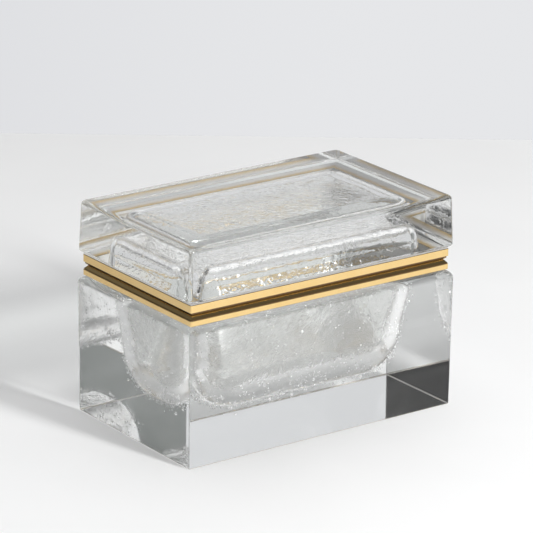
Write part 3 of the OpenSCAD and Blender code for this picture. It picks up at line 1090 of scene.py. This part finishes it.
class CASKET_OT_hinge(bpy.types.Operator):
    """Build the five knuckles and the pin of the hinge"""

    bl_idname = "casket.hinge"
    bl_label = "Hinge"

    def execute(self, context):
        b = settings_of("casket_brass")
        for node in KNUCKLES:
            lo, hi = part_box(node)
            profile = knuckle_profile((hi[0] - lo[0]) / 2, b.knuckle_d / 2, b.bore_d / 2,
                                      TUBE_EDGE)
            mesh = turned(node.replace("hinge_", "") + "_tube", *profile, (lo[0] + hi[0]) / 2)
            body = "base" if "_base_" in node else "lid"
            place_piece(mesh, body, node, ("knuckle",))
        lo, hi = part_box("hinge_pin")
        profile = pin_profile((hi[0] - lo[0]) / 2, b.pin_d / 2, PIN_EDGE)
        mesh = turned("hinge_pin_wire", *profile, 0.0)
        place_piece(mesh, "base", "hinge_pin", ("pin",))
        return {"FINISHED"}


# ---------------------------------------------------------------- stage


def make_camera(stage):
    """The camera at its azimuth and elevation, aimed and rolled."""
    a, e = stage.azimuth, stage.elevation
    back = Vector((math.sin(a) * math.cos(e), -math.cos(a) * math.cos(e), math.sin(e)))
    place = Vector((0, 0, stage.middle)) + back * stage.distance
    forward = (Vector(stage.aim) - place).normalized()
    right = forward.cross(Vector((0, 0, 1))).normalized()
    up = right.cross(forward)
    c, s = math.cos(stage.roll), math.sin(stage.roll)
    camera = put("camera", bpy.data.cameras.new("camera"))
    camera.data.lens = stage.lens
    camera.data.sensor_width, camera.data.clip_start, camera.data.clip_end = FILM, NEAR, FAR
    camera.matrix_world = Matrix([
        (*(right * c + up * s), 0), (*(up * c - right * s), 0), (*-forward, 0), (*place, 1),
    ]).transposed()
    bpy.context.scene.camera = camera


def make_table(stage):
    """The table top: a sheet of squares whose back edge crosses the view."""
    a = stage.azimuth
    away, side = np.array([-math.sin(a), math.cos(a)]), np.array([math.cos(a), math.sin(a)])
    n = TABLE_SQUARES + 1
    u = np.linspace(-stage.table_reach, stage.table_reach, n)
    v = np.linspace(-stage.table_reach, stage.table_edge, n)
    plan = u[None, :, None] * side + v[:, None, None] * away
    points = np.concatenate([plan, np.full((n, n, 1), -stage.air_gap)], -1).reshape(-1, 3)
    k = (np.arange(TABLE_SQUARES)[:, None] * n + np.arange(TABLE_SQUARES)).ravel()
    quads = np.stack([k, k + 1, k + n + 1, k + n], -1)
    mesh = mesh_from("table", points, quads, NO_TRIS, np.ones(len(quads), bool))
    mesh.materials.append(shared_material("table"))
    put("table", mesh)


def make_lamp(stage, name, toward, reflected):
    """A square soft lamp that stands in a direction and faces the casket. One that is not
    reflected stays out of mirrors and glass too, and not only out of the camera's sight."""
    distance, size, power = (
        getattr(stage, f"{name}_{key}") for key in ("distance", "size", "power"))
    lamp = bpy.data.lights.new(name, "AREA")
    lamp.shape, lamp.size, lamp.energy = "SQUARE", size, power
    held = put(name, lamp)
    way = Vector(toward).normalized()
    held.location = Vector((0, 0, stage.middle)) + way * distance
    held.rotation_mode = "QUATERNION"
    held.rotation_quaternion = way.to_track_quat("Z", "Y")
    held.visible_camera = False
    held.visible_glossy = held.visible_transmission = reflected


def make_world(stage):
    """Soft surroundings that depend only on direction: a pale wall behind, a bright canopy
    overhead, and a room that is grey to the right and dark to the left. The camera itself sees
    only the wall, a little darker on the left."""
    world = bpy.data.worlds.new("studio")
    bpy.context.scene.world = world
    world.use_nodes = True
    tree = world.node_tree
    tree.nodes.clear()
    a = stage.azimuth
    way = add(tree, "TexCoord").outputs["Generated"]
    back = dot_node(tree, way, (-math.sin(a), math.cos(a), 0))
    right = dot_node(tree, way, (math.cos(a), math.sin(a), 0))
    up = dot_node(tree, way, (0, 0, 1))
    over = dot_node(tree, way, CANOPY_WAY)
    right_room = mix(tree, spread(tree, up, *ROOM_UP), rgba(stage.room), rgba(stage.room_top))
    left_room = mix(tree, spread(tree, up, *DARK_UP), rgba(stage.dark), rgba(stage.dark_top))
    room = mix(tree, spread(tree, right, *RIGHT_SPAN), left_room, right_room)
    canopy = mix(tree, spread(tree, over, *CANOPY_SPAN), room, grey(stage.canopy))
    behind = math_op(tree, "MULTIPLY", spread(tree, back, *WALL_SPAN), spread(tree, up, *WALL_UP))
    tone = mix(tree, behind, canopy, rgba(stage.wall, stage.wall_dim))
    plain = mix(tree, spread(tree, right, *WALL_RIGHT), rgba(stage.wall_left), rgba(stage.wall))
    path = add(tree, "LightPath")
    seen = mix(tree, path.outputs["Is Camera Ray"], tone, plain)
    sky = add(tree, "Background", Color=seen, Strength=1.0)
    out = add(tree, "OutputWorld")
    feed(tree, out.inputs["Surface"], sky.outputs[0])


class CASKET_OT_stage(bpy.types.Operator):
    """Build the table, the soft lamps, the surroundings and the camera"""

    bl_idname = "casket.stage"
    bl_label = "Stage"

    def execute(self, context):
        stage = settings_of("casket_stage")
        make_camera(stage)
        make_table(stage)
        make_world(stage)
        make_lamp(stage, "key", stage.key_way, reflected=True)
        make_lamp(stage, "fill", (0, 0, 1), reflected=False)
        context.scene.view_settings.view_transform = "Standard"
        cycles = context.scene.cycles
        cycles.max_bounces = cycles.transmission_bounces = 40
        cycles.glossy_bounces, cycles.diffuse_bounces = 12, 4
        cycles.transparent_max_bounces = 64
        cycles.caustics_reflective = cycles.caustics_refractive = False
        return {"FINISHED"}


class CASKET_PT_panel(bpy.types.Panel):
    """Buttons and sizes of the casket"""

    bl_idname = "CASKET_PT_panel"
    bl_label = "Casket"
    bl_space_type = "VIEW_3D"
    bl_region_type = "UI"
    bl_category = "Casket"

    def draw(self, context):
        for operator in OPERATORS:
            self.layout.operator(operator.bl_idname)
        for name, group in GROUPS.items():
            column = self.layout.column()
            for key in group.__annotations__:
                column.prop(settings_of(name), key)


OPERATORS = (
    CASKET_OT_stage, CASKET_OT_base_glass, CASKET_OT_lid_glass, CASKET_OT_rims, CASKET_OT_hinge,
)
GROUPS = {
    "casket_glass": GlassSettings, "casket_brass": BrassSettings, "casket_stage": StageSettings,
}


def register():
    """Registers the classes and hangs the settings on the scene."""
    for cls in (*GROUPS.values(), *OPERATORS, CASKET_PT_panel):
        bpy.utils.register_class(cls)
    for name, group in GROUPS.items():
        setattr(bpy.types.Scene, name, bpy.props.PointerProperty(type=group))


def unregister():
    """Undoes register."""
    for name in GROUPS:
        delattr(bpy.types.Scene, name)
    for cls in reversed((*GROUPS.values(), *OPERATORS, CASKET_PT_panel)):
        bpy.utils.unregister_class(cls)


def main():
    """Builds the whole casket."""
    register()
    for step in ("stage", "base_glass", "lid_glass", "rims", "hinge"):
        getattr(bpy.ops.casket, step)()


if __name__ == "__main__":
    main()
